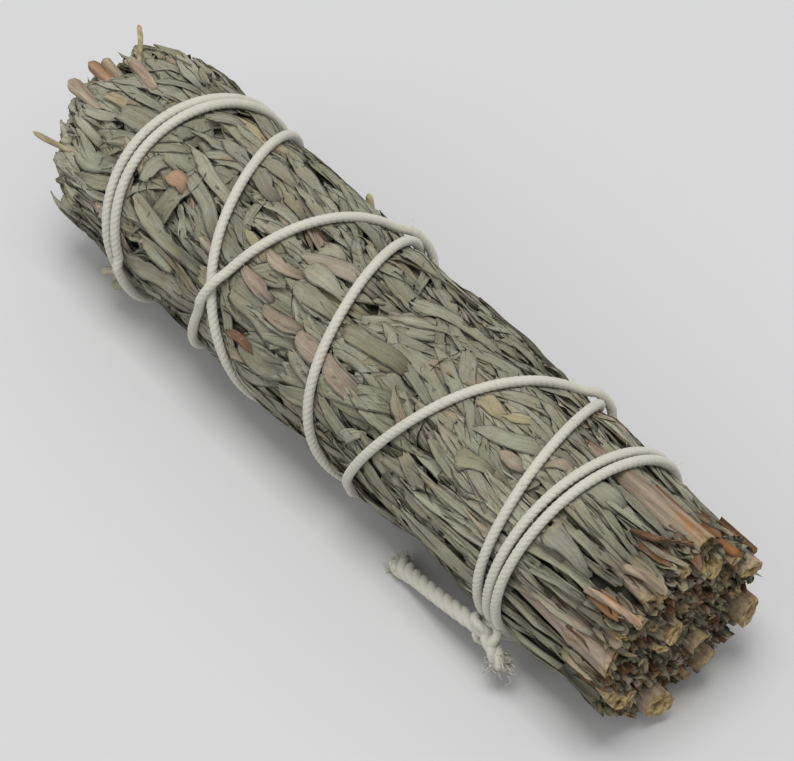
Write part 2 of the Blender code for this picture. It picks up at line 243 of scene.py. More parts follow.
def paintedShadeFinish():
    # the heart of the bunch, painted near black as painted shade that shows between the outer leaves
    shade = Shade("packedLeafPaintedShade", 0.95)
    crumbs = shade.noise(shade.place((0.5, 1, 1)), 900.0, 4.0)
    shade.colour(shade.mix(crumbs, paint["heartPaintedShadeDeep"], paint["heartPaintedShadePale"]))
    shade.bump(crumbs, 1.0, 0.8)
    return shade.material


def barkFinish():
    # pinkish tan bark with orange-brown patches in long streaks. The cutEnd attribute is 0 on
    # bark, 0.5 on the pale wood where it is cut and 1 in the pith hole, which gets painted shade.
    shade = Shade("stemBark", 0.88)
    own = shade.attribute("leafColour", "Color")
    cut = shade.attribute("cutEnd", "Fac")
    streaks = shade.noise(shade.place((0.07, 1, 1)), 1300.0, 4.0, 0.65)
    patches = shade.noise(shade.place((0.22, 1, 1)), 420.0, 4.0, 0.6)
    grain = shade.noise(shade.place(), 1500.0, 4.0, 0.65)
    rust = ((patches - 0.54) * 8.0).clamped() * 0.8
    bark = shade.mix(rust, own, paint["rustyBark"])
    grey = ((0.42 - patches) * 6.0).clamped() * 0.7
    bark = shade.mix(grey, bark, paint["greyBark"])
    lined = ((streaks - 0.5) * 2.6 + 0.5).clamped()
    streaked = shade.mix(lined, paint["streakShade"], paint["streakLight"])
    bark = shade.mix(1.0, bark, streaked, "MULTIPLY")
    fibrous = ((grain - 0.5) * 3.2 + 0.5).clamped()
    wood = shade.mix(fibrous, paint["woodShade"], paint["woodLight"])
    # the pith hole is painted near black: painted shade in the hollow
    pith = shade.mix(grain, paint["pithPaintedShadePale"], paint["pithPaintedShadeDeep"])
    woody = shade.mix((cut * 2.0).clamped(), bark, wood)
    shade.colour(shade.mix((cut * 2.0 - 1.0).clamped(), woody, pith))
    shade.bump(streaks * 0.8 + grain * 0.5, 0.9, 0.3)
    return shade.material


def cottonFinish():
    # unbleached cotton: fine fibres run along each ply in its UV map
    shade = Shade("cottonTwine", 0.97)
    fibres = shade.noise(shade.place((0.3, 9.0, 1), "UV"), 1.0, 3.0, 0.7)
    slubs = shade.noise(shade.place(), 300.0, 2.0)
    pale = shade.mix(fibres, paint["fibreShade"], paint["fibreLight"])
    shade.colour(shade.mix(((slubs - 0.5) * 2.0).clamped() * 0.4, pale, paint["slub"]))
    shade.bump(fibres, 0.6, 0.1)
    shade.surface.inputs["Sheen Weight"].default_value = 0.3
    shade.surface.inputs["Sheen Roughness"].default_value = 0.5
    return shade.material


finishes = {
    "leaf": leafFinish(),
    "paintedShade": paintedShadeFinish(),
    "bark": barkFinish(),
    "cotton": cottonFinish(),
}
print("finishes made")


# Mesh making
def ringFaces(rows, columns):
    # quads between each row of a closed ring of points and the next
    row, column = np.meshgrid(np.arange(rows - 1), np.arange(columns), indexing="ij")
    after = (column + 1) % columns
    quads = [row * columns + column, row * columns + after]
    quads += [(row + 1) * columns + after, (row + 1) * columns + column]
    return np.stack(quads, axis=-1).reshape(-1, 4)


def joinPoles(mesh):
    # the points that a row shares at a pole become one, and the faces between them go
    work = bmesh.new()
    work.from_mesh(mesh)
    bmesh.ops.remove_doubles(work, verts=work.verts[:], dist=1e-7)
    work.to_mesh(mesh)
    work.free()


class Heap:
    # gathers the points, faces, UVs and colours of many shapes that become one piece
    def __init__(self):
        self.points, self.faces, self.uvs, self.colours, self.cuts = [], [], [], [], []
        self.count = 0

    def add(self, points, faces, uv, colour, cut=None):
        points = points.reshape(-1, 3)
        self.points.append(points)
        self.faces.append(faces + self.count)
        self.uvs.append(uv.reshape(-1, 2))
        full = np.ones((len(points), 4))
        full[:, :3] = np.reshape(colour, (-1, 3))
        self.colours.append(full)
        self.cuts.append(np.zeros(len(points)) if cut is None else cut.reshape(-1))
        self.count += len(points)

    def piece(self, name, finish, slot, nodes=()):
        points = np.concatenate(self.points) * mm
        faces = np.concatenate(self.faces).astype(np.int32)
        mesh = bpy.data.meshes.new(name)
        mesh.vertices.add(len(points))
        mesh.vertices.foreach_set("co", points.astype(np.float32).ravel())
        mesh.loops.add(faces.size)
        mesh.loops.foreach_set("vertex_index", faces.ravel())
        mesh.polygons.add(len(faces))
        mesh.polygons.foreach_set("loop_start", np.arange(len(faces), dtype=np.int32) * 4)
        mesh.update(calc_edges=True)
        uv = np.concatenate(self.uvs)[faces.ravel()]
        layer = mesh.uv_layers.new(name="UVMap")
        layer.data.foreach_set("uv", uv.astype(np.float32).ravel())
        colour = mesh.attributes.new("leafColour", "FLOAT_COLOR", "POINT")
        colour.data.foreach_set("color", np.concatenate(self.colours).astype(np.float32).ravel())
        cut = mesh.attributes.new("cutEnd", "FLOAT", "POINT")
        cut.data.foreach_set("value", np.concatenate(self.cuts).astype(np.float32))
        mesh.polygons.foreach_set("use_smooth", np.ones(len(faces), dtype=bool))
        mesh.materials.append(finish)
        joinPoles(mesh)
        obj = bpy.data.objects.new(name, mesh)
        bpy.context.scene.collection.objects.link(obj)
        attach(obj, "root")
        if nodes:
            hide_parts(*nodes)
        print("made", name, len(faces), "faces")


# Twine. Its route: where along the bunch each turn lies at its start and at the shares of a
# turn given by the quarters, counted from the knot. The loose ends: where each stops, how its
# middle bows out and how far its plies open.
twine = {
    "radius": 0.65,
    "liesAt": 13.75,
    "hop": 1.0,
    "hopReach": 2.08,
    "pinchReach": 1.5,
    "startsAt": math.radians(116),
    "quarters": (0.0, 0.25, 0.5, 0.75, 0.82),
    "turns": (
        (31.9, 30.2, 24.4, 14.5, 11.2),
        (3.4, -2.3, -8.6, -10.2, -10.9),
        (-12.5, -23.3, -31.6, -34.0, -34.6),
        (-35.9, -40.1, -37.3, -36.6, -36.2),
        (-34.5, -38.6, -35.7, -29.5, -27.6),
        (-22.3, -17.1, -9.4, 2.2, 4.4),
        (6.8, 15.0, 24.0, 30.0, 31.0),
        (33.0, 33.5, 35.2, 34.9, 34.8),
        (34.6, 35.1, 36.7, 36.0, 35.2),
    ),
    "knotAlong": 33.2,
    "knotOut": 15.3,
    "knotSize": 0.72,
    "knotPly": 0.85,
    "looseEnds": (
        {"end": (16.4, -12.6, 0.95), "bow": (0.5, -0.5, 0.7), "opening": 0.5},
        {"end": (36.6, -14.4, 4.2), "bow": (0.4, -0.3, 0.2), "opening": 0.3},
    ),
    "loosePly": 1.3,
    "plies": 3,
    "plyRadius": 0.5,
    "plyOffset": 0.15,
    "layLength": 2.4,
    "looseOffset": 0.34,
    "looseLay": 5.0,
    "step": 0.3,
    "perTurn": 72,
    "endFibres": 260,
    "woundFibres": 420,
    "fuzzBelow": 28.1,
    "seed": 11,
}


def twineAlong(turns):
    # cubic Hermite through the stations, each slope taken from the stations on both sides
    stations = [
        (turn + quarter, x)
        for turn, row in enumerate(twine["turns"])
        for quarter, x in zip(twine["quarters"], row)
    ]
    stations = np.array(stations + [(float(len(twine["turns"])), twine["knotAlong"])])
    at, x = stations[:, 0], stations[:, 1]
    slope = np.empty(len(at))
    slope[1:-1] = (x[2:] - x[:-2]) / (at[2:] - at[:-2])
    slope[0] = (x[1] - x[0]) / (at[1] - at[0])
    slope[-1] = (x[-1] - x[-2]) / (at[-1] - at[-2])
    i = np.clip(np.searchsorted(at, turns, side="right") - 1, 0, len(at) - 2)
    run = at[i + 1] - at[i]
    t = (turns - at[i]) / run
    held = x[i] * (2 * t**3 - 3 * t**2 + 1) + x[i + 1] * (3 * t**2 - 2 * t**3)
    pulled = slope[i] * (t**3 - 2 * t**2 + t) + slope[i + 1] * (t**3 - t**2)
    return held + pulled * run


def twineRoute():
    # the winding's centre line: round the bunch once a turn, and raised over each earlier turn
    # that it crosses by hop * exp(-(gap / hopReach)^4)
    perTurn = twine["perTurn"]
    count = len(twine["turns"]) * perTurn + 1
    turns = np.arange(count) / perTurn
    along = twineAlong(turns)
    hops = np.zeros(count)
    for back in range(1, len(twine["turns"])):
        lag = back * perTurn
        gap = along[lag:] - along[:-lag]
        crossings = np.nonzero(gap[1:] * gap[:-1] < 0)[0]
        for crossing in crossings:
            near = np.arange(max(0, crossing - perTurn // 6), min(len(gap), crossing + perTurn // 6))
            rise = twine["hop"] * np.exp(-((gap[near] / twine["hopReach"]) ** 4))
            hops[near + lag] = np.maximum(hops[near + lag], rise)
    angle = twine["startsAt"] - math.tau * turns
    points = bunchPoint(along, angle, twine["liesAt"] + hops)
    points[:, 2] = np.maximum(points[:, 2], twine["radius"] + 0.08)
    return points


def strandsAt(angle):
    # where along the bunch each turn of the twine lies, at an angle round it
    share = ((twine["startsAt"] - angle) % math.tau) / math.tau
    return np.stack([twineAlong(turn + share) for turn in range(len(twine["turns"]))])


def pinched(x, angle, radius):
    # leaves sink to just under the twine, by exp(-(distance / pinchReach)^2) of the way
    nearest = np.abs(strandsAt(angle) - x).min(axis=0)
    hold = np.exp(-((nearest / twine["pinchReach"]) ** 2))
    under = twine["liesAt"] - twine["radius"] - 0.1
    return radius - hold * np.maximum(0.0, radius - under)


def evenly(line, step):
    # the same line with its points a fixed step apart, and what else its columns hold
    steps = np.linalg.norm(np.diff(line[:, :3], axis=0), axis=1)
    lengths = np.concatenate([[0], np.cumsum(steps)])
    wanted = np.linspace(0, lengths[-1], max(4, int(lengths[-1] / step)))
    return np.stack([np.interp(wanted, lengths, column) for column in line.T], axis=-1), wanted


def sideways(points, towards):
    # two directions square to the line: the nearest to a given one, and the one across it
    tangent = np.gradient(points, axis=0)
    tangent /= np.linalg.norm(tangent, axis=1, keepdims=True)
    first = towards - tangent * (towards * tangent).sum(axis=-1, keepdims=True)
    first /= np.linalg.norm(first, axis=1, keepdims=True)
    return first, np.cross(tangent, first)


def tubeAlong(heap, points, radii, sides, colour, towards=(0.23, 0.51, 0.83)):
    # circles of the given radii square to the line, and a point that closes each end
    first, second = sideways(points, np.asarray(towards))
    around = np.linspace(0, math.tau, sides, endpoint=False)[:, None]
    ring = first[:, None] * np.cos(around) + second[:, None] * np.sin(around)
    body = points[:, None] + ring * np.reshape(radii, (-1, 1, 1))
    ends = [np.repeat(point[None, None], sides, 1) for point in (points[0], points[-1])]
    body = np.concatenate([ends[0], body, ends[1]])
    steps = np.linalg.norm(np.diff(points, axis=0), axis=1)
    along = np.concatenate([[0, 0], np.cumsum(steps), [steps.sum()]])
    uv = np.stack(np.broadcast_arrays(along[:, None], np.arange(sides)[None] / sides), axis=-1)
    heap.add(body, ringFaces(len(body), sides), uv, colour)


def layPlies(heap, points, towards, opening=0.0, size=1.0, offset=None, lay=None):
    # each ply winds round the line at the offset, an even share of a turn from the last, once in
    # each length of lay, and over the last quarter the plies move apart by the opening
    line, wanted = evenly(np.concatenate([points, towards], axis=1), twine["step"])
    points, towards = line[:, :3], line[:, 3:]
    first, second = sideways(points, towards)
    share = wanted / wanted[-1]
    offset = (offset or twine["plyOffset"]) * size
    offset = offset + opening * np.clip((share - 0.75) / 0.25, 0, 1) ** 1.5
    radius = twine["plyRadius"] * size
    for ply in range(twine["plies"]):
        turn = math.tau * (wanted / (lay or twine["layLength"]) + ply / twine["plies"])
        out = first * np.cos(turn)[:, None] + second * np.sin(turn)[:, None]
        strand = points + offset[:, None] * out
        strand[:, 2] = np.maximum(strand[:, 2], radius + 0.05)
        tubeAlong(heap, strand, np.full(len(strand), radius), 8, (1, 1, 1), towards)


def knotLoop(centre):
    # a trefoil laid against the side of the bunch: sin t + 2 sin 2t along, sin 3t out of it and
    # cos t - 2 cos 2t up
    t = np.linspace(0, math.tau, 90)
    size = twine["knotSize"]
    x = size * (np.sin(t) + 2 * np.sin(2 * t))
    y = -size * np.sin(3 * t)
    z = size * (np.cos(t) - 2 * np.cos(2 * t))
    return np.asarray(centre) + np.stack([x, y, z], axis=-1)


def bow(start, end, lift, count=30):
    # a straight run between two points, raised by a parabola in the middle
    t = np.linspace(0, 1, count)[:, None]
    return np.asarray(start) * (1 - t) + np.asarray(end) * t + 4 * t * (1 - t) * np.asarray(lift)


def makeTwine():
    # the winding, the knot, the two loose ends and single fibres
    draw = np.random.default_rng(twine["seed"])
    heap = Heap()
    route = twineRoute()
    knot = bunchPoint(twine["knotAlong"], twine["startsAt"], twine["knotOut"])
    wound = np.concatenate([[knot], route, [knot]])
    layPlies(heap, wound, wound - wound * (1, 0, 0) - (0, 0, bunch["axisHeight"]))
    loop = knotLoop(knot)
    layPlies(heap, loop, loop - knot + (0, 0, 0.01), size=twine["knotPly"])
    for loose in twine["looseEnds"]:
        line = bow(knot, loose["end"], loose["bow"])
        upward = np.broadcast_to((0.0, 0.0, 1.0), line.shape)
        size, offset, lay = twine["loosePly"], twine["looseOffset"], twine["looseLay"]
        layPlies(heap, line, upward, loose["opening"], size, offset, lay)
        fluff(heap, draw, line[-1], line[-1] - line[-4])
    fuzz(heap, draw, route)
    heap.piece("cottonTwine", finishes["cotton"], "cotton_twine", ("twine",))


def fluff(heap, draw, tip, heading):
    # fibres that fan out of an untwisted end
    heading = heading / np.linalg.norm(heading)
    for i in range(twine["endFibres"]):
        away = heading + draw.normal(0, 0.7, 3)
        away *= draw.uniform(0.5, 1.7) / np.linalg.norm(away)
        start = tip + draw.normal(0, 0.55, 3) - heading * 0.6
        bend = draw.normal(0, 0.35, 3)
        line = bow(start, start + away, bend, 6)
        line[:, 2] = np.maximum(line[:, 2], 0.08)
        tubeAlong(heap, line, np.linspace(0.07, 0.03, 6), 4, (1, 1, 1))


def fuzz(heap, draw, route):
    # single fibres that stand off the twine
    first, second = sideways(route, np.array((0.1, 0.2, 0.97)))
    for i in draw.integers(4, len(route) - 4, twine["woundFibres"]):
        turn = draw.uniform(0, math.tau)
        out = first[i] * math.cos(turn) + second[i] * math.sin(turn)
        start = route[i] + out * 0.5
        end = start + out * draw.uniform(0.15, 0.5) + draw.normal(0, 0.5, 3)
        if 0.1 < end[2] < twine["fuzzBelow"]:
            tubeAlong(heap, bow(start, end, out * 0.2, 5), np.full(5, 0.02), 3, (1, 1, 1))


makeTwine()

# Leaves. How many and where their roots lie, how thick they are and how much of that they add
# to the pile, the pile's height, the points of one leaf, and the shares of kinds and colours.
leaves = {
    "count": 1850,
    "from": -46.5,
    "to": 51.8,
    "shuffled": 10,
    "thickness": 0.26,
    "packed": 0.17,
    "pileHeight": 2.7,
    "pileGive": 2.4,
    "rows": 22,
    "keepRow": 3,
    "columns": 7,
    "cell": 0.5,
    "length": (7.5, 16.5),
    "kinds": {"lance": 0.56, "broken": 0.28, "toothed": 0.08, "broad": 0.08},
    "widths": {"lance": (1.1, 2.6), "broken": (1.4, 3.0), "toothed": (2.0, 3.4), "broad": (3.0, 4.4)},
    "colours": {
        "sage": 0.52,
        "silver": 0.26,
        "shade": 0.1,
        "olive": 0.04,
        "tan": 0.045,
        "straw": 0.015,
        "rose": 0.02,
    },
    "brightness": (0.8, 1.08),
    "marked": {"lift": 0.45, "twist": 0.1, "cup": 0.25, "above": 0.45},
    "seed": 3,
}
leafColours = {
    "sage": (0.315, 0.307, 0.226),
    "silver": (0.36, 0.355, 0.272),
    "olive": (0.295, 0.282, 0.183),
    "shade": (0.255, 0.248, 0.182),
    "lavender": (0.318, 0.304, 0.25),
    "mauve": (0.336, 0.3, 0.235),
    "straw": (0.42, 0.37, 0.225),
    "rose": (0.395, 0.32, 0.243),
    "tan": (0.35, 0.297, 0.2),
    "terracotta": (0.4, 0.262, 0.16),
    "rust": (0.24, 0.115, 0.05),
    "dryTip": (0.41, 0.36, 0.235),
    "cutBase": (0.2, 0.135, 0.075),
}
# leaves that catch the eye: distance along the bunch and angle of the root, length, width and
# the way it turns, then its kind and colour, with the angles in degrees
markedLeaves = (
    (-40.5, 45, 9.2, 3.3, 7, "broken", "silver"),
    (-43.5, 21, 7.8, 1.4, 27, "lance", "silver"),
    (-40.0, -22, 7.0, 1.3, 32, "lance", "sage"),
    (-41.5, -25, 6.0, 1.7, -3, "broken", "silver"),
    (-40.5, -32, 6.2, 1.3, -14, "lance", "olive"),
    (-30.0, 28, 3.8, 2.4, 0, "broken", "terracotta"),
    (-22.5, 38, 9.8, 2.2, -27, "broken", "silver"),
    (-32.0, -23, 6.2, 2.2, 29, "broken", "silver"),
    (-34.5, 22, 5.0, 2.3, 60, "broken", "silver"),
    (-33.5, 10, 6.8, 1.3, 36, "lance", "sage"),
    (-9.0, 71, 6.6, 1.6, -2, "lance", "rust"),
    (7.5, 48, 13.5, 3.2, -1, "broken", "rose"),
    (-5.0, 42, 6.8, 2.0, 11, "broken", "rose"),
    (-11.0, 42, 6.6, 2.1, -7, "broken", "rose"),
    (-9.5, 20, 7.5, 1.7, 14, "broken", "rose"),
    (-1.5, 1, 10.5, 2.5, 9, "broken", "mauve"),
    (-15.0, 29, 5.4, 1.5, -20, "lance", "straw"),
    (-16.0, -4, 5.2, 1.6, -6, "lance", "olive"),
    (9.0, 21, 10.5, 2.7, 5, "broken", "olive"),
    (-2.5, 14, 8.0, 3.0, 6, "toothed", "silver"),
    (23.5, 7, 5.5, 2.7, -6, "toothed", "straw"),
    (26.0, -4, 4.8, 1.4, 33, "lance", "straw"),
    (26.5, 30, 5.4, 2.7, 13, "toothed", "olive"),
    (29.0, 19, 4.0, 1.8, 3, "lance", "rose"),
    (33.5, 1, 5.4, 1.7, 23, "lance", "rose"),
    (31.0, -4, 12.0, 2.3, 29, "lance", "silver"),
    (40.5, -1, 5.6, 3.3, 4, "broken", "silver"),
    (43.5, 36, 8.0, 3.4, -6, "toothed", "lavender"),
)
# where stems lie bare: how far along the leaves stop, and the angles on either side, in degrees
bareStems = ((37.5, -28, -8), (46.0, 64, 84), (45.0, 33, 41))


def pick(draw, shares):
    names = list(shares)
    return names[draw.choice(len(names), p=np.array(list(shares.values())) / sum(shares.values()))]


def drawColour(draw, name=None):
    name = name or pick(draw, leaves["colours"])
    return np.array(leafColours[name]) * draw.uniform(*leaves["brightness"]) * draw.normal(1, 0.012, 3)


def leafOutline(kind, draw):
    # shares of the length and of the half width at each point. Lance: half a sine wave, widest
    # near its middle, with a blunt point. Toothed: wider towards an end with shallow teeth, a
    # cosine of the way across. The others: nearly even, with an end torn at random.
    u = np.linspace(0, 1, leaves["rows"])[:, None]
    w = np.linspace(-1, 1, leaves["columns"])[None]
    end = np.clip((u - 0.7) / 0.3, 0, 1)
    if kind == "toothed":
        width = 0.3 + 0.7 * np.clip(u / 0.8, 0, 1) ** 1.1
        tooth = draw.uniform(0.05, 0.12) * (0.5 - 0.5 * np.cos(3 * math.pi * w)) + 0.08 * w**2
        reach = u - tooth * end**1.5
    elif kind == "lance":
        width = 0.3 + 0.7 * np.sin(math.pi * np.clip(u * draw.uniform(0.66, 0.85) + 0.1, 0, 1))
        width = width * (1 - 0.4 * end**3)
        reach = u - draw.uniform(0.08, 0.15) * w**2 * end
    else:
        width = 0.6 + 0.4 * np.sin(math.pi * np.clip(u * 0.9 + 0.05, 0, 1))
        torn = draw.uniform(0.0, 0.07, leaves["columns"])[None] + draw.normal(0, 0.05) * w
        reach = u - (torn + 0.03 * w**2) * end
    wobble = 1 + 0.1 * np.sin(draw.uniform(0, math.tau) + draw.uniform(6, 11) * u)
    return reach, width * wobble * w, u, w


class Surface:
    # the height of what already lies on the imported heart, over a grid along it and round it
    def __init__(self):
        self.columns = int(math.tau * bunch["leafRadius"] / leaves["cell"])
        self.rows = int(120 / leaves["cell"])
        self.height = np.zeros((self.rows, self.columns))

    def cells(self, x, angle):
        row = np.clip(((x + 60) / leaves["cell"]).astype(int), 0, self.rows - 1)
        column = ((angle % math.tau) / math.tau * self.columns).astype(int) % self.columns
        return row, column


def drape(surface, x, angle, lift):
    # each row of the leaf rides on 0.6 of the highest and 0.4 of the mean height under it,
    # smoothed along the leaf. Across the row it is 0.4 of that and 0.6 of what lies under it,
    # down to half a millimetre lower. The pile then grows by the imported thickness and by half
    # of what stands up of the leaf, because later leaves press the rest flat.
    row, column = surface.cells(x, angle)
    under = surface.height[row, column]
    ridge = 0.6 * under.max(axis=1) + 0.4 * under.mean(axis=1)
    for i in range(3):
        ridge = np.convolve(np.pad(ridge, 2, mode="edge"), np.ones(5) / 5, mode="valid")
    top = 0.4 * ridge[:, None] + 0.6 * np.maximum(under, ridge[:, None] - 0.5)
    top = top + leaves["packed"]
    np.maximum.at(surface.height, (row, column), top + 0.5 * np.maximum(lift, 0))
    return top + lift


def settle(height):
    # the pile is pressed: pileHeight * (1 - exp(-height / pileGive))
    return leaves["pileHeight"] * (1 - np.exp(-np.maximum(height, 0) / leaves["pileGive"]))


def leafTintAndPaintedShade(colour, u, w, draw, cutBase=0.0):
    # painted shade: darker at the edges and near the root, where others cover it and cast shade.
    # Often dry at the tip, and brown where the root was cut
    # painted shade: the edges dim to 0.85 and the root to 0.52 of the colour
    shade = (1 - 0.15 * np.abs(w) ** 4) * (0.52 + 0.48 * np.clip(u / 0.4, 0, 1))
    dryness = draw.choice([0.0, 0.3, 0.7], p=[0.55, 0.33, 0.12])
    tip = (dryness * np.clip((u - 0.75) / 0.25, 0, 1) ** 1.5 + 0 * w)[..., None]
    cut = (cutBase * np.clip(1.2 - u / 0.25, 0, 1) + 0 * w)[..., None]
    tint = colour * (1 - tip) + np.array(leafColours["dryTip"]) * tip
    return (tint * (1 - cut) + np.array(leafColours["cutBase"]) * cut) * shade[..., None]


def leafShell(heap, draw, top, out, reach, across, length, width, tint):
    # every few rows of the top, with a line of points under its middle, as one closed shape
    keep = np.arange(0, leaves["rows"], leaves["keepRow"])
    top, out, tint = top[keep], out[keep], tint[keep]
    middle = leaves["columns"] // 2
    under = top[:, middle] - out[:, middle] * leaves["thickness"]
    edges = (top[:, 0] + top[:, -1]) / 2 - out[:, middle] * leaves["thickness"] * 0.5
    under = np.where((out[:, middle] * (edges - under)).sum(axis=1, keepdims=True) < 0, edges, under)
    ring = np.concatenate([top, under[:, None]], axis=1)
    # the line under the middle gets 0.8 of the colour, as painted shade on the underside
    tint = np.concatenate([tint, tint[:, middle : middle + 1] * 0.8], axis=1)
    uv = np.stack(np.broadcast_arrays(reach[keep] * length, across[keep] * width), axis=-1)
    uv = np.concatenate([uv, uv[:, middle : middle + 1]], axis=1) + draw.uniform(0, 300, 2)
    rows, columns = ring.shape[:2]
    pairs = np.arange(0, columns - 2, 2)
    cap = np.stack([np.full(len(pairs), columns - 1), pairs, pairs + 1, pairs + 2], axis=-1)
    faces = [ringFaces(rows, columns)[:, ::-1], cap, cap[:, ::-1] + (rows - 1) * columns]
    heap.add(ring, np.concatenate(faces), uv, tint)


def layLeaf(surface, heaps, draw, leaf):
    # the middle line runs from the root against x, turning by the yaw, and each point lies
    # across from it. Both are wrapped round the bunch by side / radius. A point's lift is the
    # roll, the cupped edges, the groove along the middle, the waves and the raised tip.
    reach, across, u, w = leafOutline(leaf["kind"], draw)
    length, half = leaf["length"], leaf["width"] / 2
    yaw = leaf["yaw"] + leaf["bend"] * (u - 0.3) + leaf["weave"] * np.sin(math.tau * u)
    passed = leaves["rows"] * np.maximum(u, 0.045)
    run = np.cumsum(np.cos(yaw), axis=0) / passed
    drift = np.cumsum(np.sin(yaw), axis=0) / passed
    roll = leaf["roll"] + leaf["twist"] * (u - 0.5)
    flat = half * across * np.cos(roll)
    x = leaf["x"] - length * reach * run + flat * np.sin(yaw)
    angle = leaf["angle"] + (length * reach * drift + flat * np.cos(yaw)) / bunch["leafRadius"]
    cup = leaf["cup"] * half * np.abs(w) ** 1.5
    groove = -0.09 * np.exp(-((w / 0.25) ** 2)) * half
    waves = 0.12 * np.sin(leaf["phase"] + 10 * u + 2 * w) * np.abs(w) * half
    ripple = 0.16 * np.sin(1.7 * leaf["phase"] + 8 * u + 1.2 * w)
    raised = leaf["lift"] * u**2 + leaf["above"]
    lift = half * across * np.sin(roll) + cup + groove + waves + ripple + raised
    height = settle(drape(surface, x, angle, lift))
    sunk = leaf["sunk"] * np.clip(1 - u / 0.2, 0, 1)
    radius = bunch["packedRadius"] + height - sunk - endRounding(x, angle)
    radius = pinched(x, angle, radius)
    top = bunchPoint(x, angle, radius)
    top[..., 2] = np.maximum(top[..., 2], leaves["thickness"] + 0.02)
    out = bunchPoint(x, angle, radius + 1.0) - bunchPoint(x, angle, radius)
    middle = leaves["rows"] // 2, leaves["columns"] // 2
    cutBase = 0.7 * float(np.clip((leaf["x"] - 47) / 3, 0, 1))
    tint = leafTintAndPaintedShade(leaf["colour"], u, w, draw, cutBase)
    heap = heaps[sprigAt(x[middle], angle[middle])]
    leafShell(heap, draw, top, out, reach, across, length, half, tint)


def tipReach(angle):
    # the tip end isn't square: it reaches further on top than underneath, by a cosine of the
    # angle, and five small waves go round it
    return -51.1 - 2.3 * np.cos(angle + math.radians(5)) + 0.6 * np.sin(5 * angle + 1)


def endRounding(x, angle):
    # leaves draw in over the last millimetres of both ends, by the square of the way there
    tip = np.clip((tipReach(angle) + 7 - x) / 7, 0, 1.2)
    butt = np.clip((x - 47.5) / 5, 0, 1.2)
    return 1.9 * tip**2 + 0.5 * butt**2


def nearBareStem(x, angle):
    # whether a root would lie on a stem that shows bare
    turned = (math.degrees(angle) + 180) % 360 - 180
    return any(x > start and low < turned < high for start, low, high in bareStems)


def drawLeaf(draw, x, angle):
    # long, narrow and in line towards the cut end, shorter and at all angles towards the tips.
    # Elsewhere the direction swirls by two sine waves along and round the bunch. The yaw, the
    # bend and the weave are drawn in degrees.
    buttEnd = float(np.clip((x - 30) / 10, 0, 1))
    tipEnd = float(np.clip((-18 - x) / 12, 0, 1))
    kind = pick(draw, leaves["kinds"]) if draw.random() > 0.6 * buttEnd else "lance"
    length = draw.uniform(*leaves["length"]) * (1 + 0.45 * buttEnd - 0.15 * tipEnd)
    swirl = 14 * math.sin(0.11 * x + 2 * angle) + 8 * math.sin(0.23 * x - 3 * angle)
    yaw = draw.normal(swirl * (1 - buttEnd), 5 + 7 * (1 - buttEnd) + 10 * tipEnd)
    if draw.random() < 0.09 * (1 - buttEnd) + 0.1 * tipEnd:
        yaw += draw.choice([-1, 1]) * draw.uniform(30, 75)
    return {
        "x": x,
        "angle": angle,
        "kind": kind,
        "width": draw.uniform(*leaves["widths"][kind]) * (1 - 0.3 * buttEnd),
        "length": min(length, x - float(tipReach(angle))),
        "yaw": math.radians(yaw),
        "bend": math.radians(draw.normal(0, 22 - 12 * buttEnd)),
        "weave": math.radians(draw.normal(0, 7)),
        "roll": draw.normal(0, 0.2),
        "twist": draw.normal(0, 0.5),
        "cup": draw.uniform(-0.2, 1.0),
        "lift": draw.uniform(-0.1, 0.4),
        "above": 0.0,
        "sunk": draw.uniform(0.2, 0.7),
        "phase": draw.uniform(0, math.tau),
        "colour": drawColour(draw) * (1 + 0.16 * buttEnd + 0.08 * tipEnd),
    }


def makeLeaves():
    # laid from the tips towards the cut end, so that each leaf's tip covers the roots before it,
    # and the marked ones on top of them all
    draw = np.random.default_rng(leaves["seed"])
    surface = Surface()
    heaps = [Heap() for k in range(bunch["outerSprigs"])]
    roots = draw.uniform(leaves["from"], leaves["to"], leaves["count"])
    order = np.argsort(roots + draw.normal(0, leaves["shuffled"], leaves["count"]))
    for x in roots[order]:
        angle = draw.uniform(0, math.tau)
        if not nearBareStem(x, angle):
            layLeaf(surface, heaps, draw, drawLeaf(draw, x, angle))
    for x, angle, length, width, yaw, kind, colour in markedLeaves:
        leaf = drawLeaf(draw, x, math.radians(angle))
        leaf.update(length=length, width=width, yaw=math.radians(yaw), kind=kind)
        leaf.update(colour=drawColour(draw, colour), roll=draw.normal(0, 0.08), **leaves["marked"])
        layLeaf(surface, heaps, draw, leaf)
    for k, heap in enumerate(heaps):
        node = f"sprig_{k + 1:02d}_leaves"
        heap.piece(f"leavesOfSprig{k + 1:02d}", finishes["leaf"], "dried_leaf", (node,))


makeLeaves()

# The heart: packed leaves, painted near black as painted shade, that only show between the outer
# ones, and the ragged leaf ends at both ends of the bunch
heart = {
    "from": -46.5,
    "to": 49.0,
    "radius": 11.2,
    "tipLeaves": 640,
    "tipSpread": 12.9,
    "tipWidth": 1.15,
    "tipBrightness": 1.3,
    "buttLeaves": 900,
    "buttSpread": 12.6,
    "buttBrightness": 0.95,
    "buttColours": {"shade": 0.2, "tan": 0.45, "rust": 0.2, "straw": 0.15},
    "reach": (-54.6, 53.0),
    "seed": 8,
}


